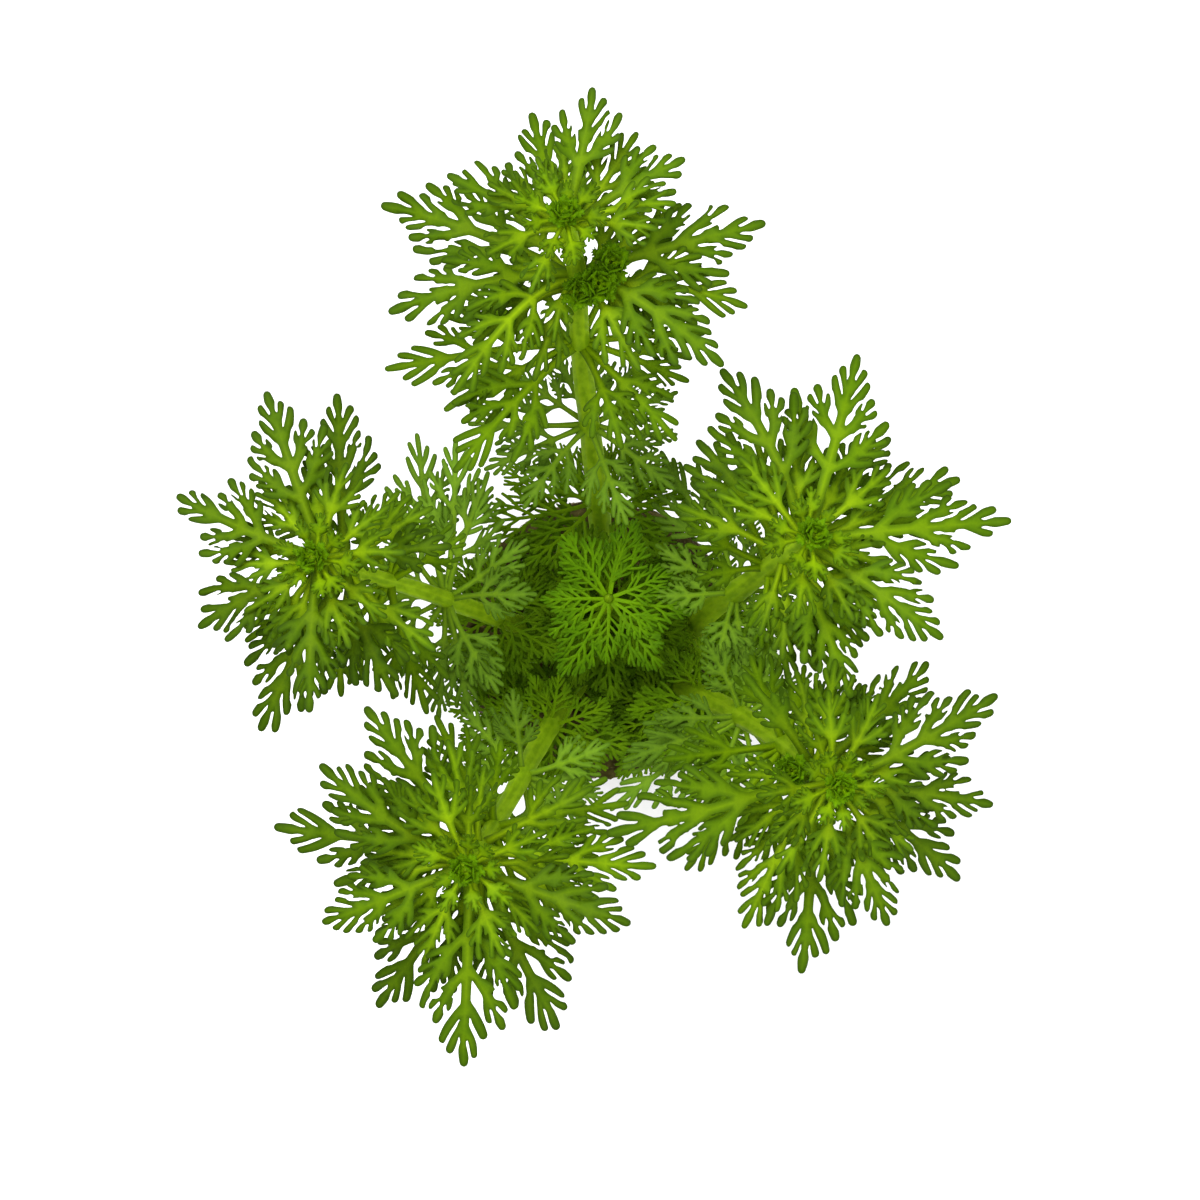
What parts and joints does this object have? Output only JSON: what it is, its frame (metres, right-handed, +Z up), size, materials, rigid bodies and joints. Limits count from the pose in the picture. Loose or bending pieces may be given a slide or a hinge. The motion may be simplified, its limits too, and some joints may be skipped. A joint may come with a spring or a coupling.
{
  "type": "limnophila heterophylla plant",
  "caption": "Clump of leaning leafy shoots with whorled, finely lobed leaves, rising from a round plug of growing medium that stands on its flat underside.",
  "frame": {"origin": "centre of the plug's flat underside, on the surface it stands on", "axes": "+Z up; +Y towards the tallest shoot, which leans furthest out; +X to its right as seen from above"},
  "size_m": [0.1176, 0.1373, 0.1122],
  "materials": {
    "crown_leaf": "satin",
    "fine_leaf": "satin",
    "stem": "satin",
    "growing_medium": "matte"
  },
  "bodies": {
    "root": {"centre_stem": "stem", "centre_whorl": "fine_leaf", "east_leaf_1": "crown_leaf", "east_leaf_2": "crown_leaf", "east_leaf_3": "crown_leaf", "east_leaf_4": "crown_leaf", "east_leaf_5": "crown_leaf", "east_leaf_6": "crown_leaf", "east_leaf_7": "crown_leaf", "east_leaf_8": "crown_leaf", "east_stem": "stem", "east_whorl_3": "fine_leaf", "east_whorl_4": "fine_leaf", "north_leaf_1": "crown_leaf", "north_leaf_2": "crown_leaf", "north_leaf_3": "crown_leaf", "north_leaf_4": "crown_leaf", "north_leaf_5": "crown_leaf", "north_leaf_6": "crown_leaf", "north_leaf_7": "crown_leaf", "north_leaf_8": "crown_leaf", "north_stem": "stem", "north_whorl_3": "fine_leaf", "north_whorl_4": "fine_leaf", "side_shoot_1": "fine_leaf", "side_shoot_2": "fine_leaf", "soil_plug": "growing_medium", "south_east_leaf_1": "crown_leaf", "south_east_leaf_2": "crown_leaf", "south_east_leaf_3": "crown_leaf", "south_east_leaf_4": "crown_leaf", "south_east_leaf_5": "crown_leaf", "south_east_leaf_6": "crown_leaf", "south_east_leaf_7": "crown_leaf", "south_east_leaf_8": "crown_leaf", "south_east_stem": "stem", "south_east_whorl_3": "fine_leaf", "south_east_whorl_4": "fine_leaf", "south_west_leaf_1": "crown_leaf", "south_west_leaf_2": "crown_leaf", "south_west_leaf_3": "crown_leaf", "south_west_leaf_4": "crown_leaf", "south_west_leaf_5": "crown_leaf", "south_west_leaf_6": "crown_leaf", "south_west_leaf_7": "crown_leaf", "south_west_leaf_8": "crown_leaf", "south_west_stem": "stem", "south_west_whorl_3": "fine_leaf", "south_west_whorl_4": "fine_leaf", "west_leaf_1": "crown_leaf", "west_leaf_2": "crown_leaf", "west_leaf_3": "crown_leaf", "west_leaf_4": "crown_leaf", "west_leaf_5": "crown_leaf", "west_leaf_6": "crown_leaf", "west_leaf_7": "crown_leaf", "west_leaf_8": "crown_leaf", "west_stem": "stem", "west_whorl_3": "fine_leaf", "west_whorl_4": "fine_leaf"}
  },
  "joints": []
}
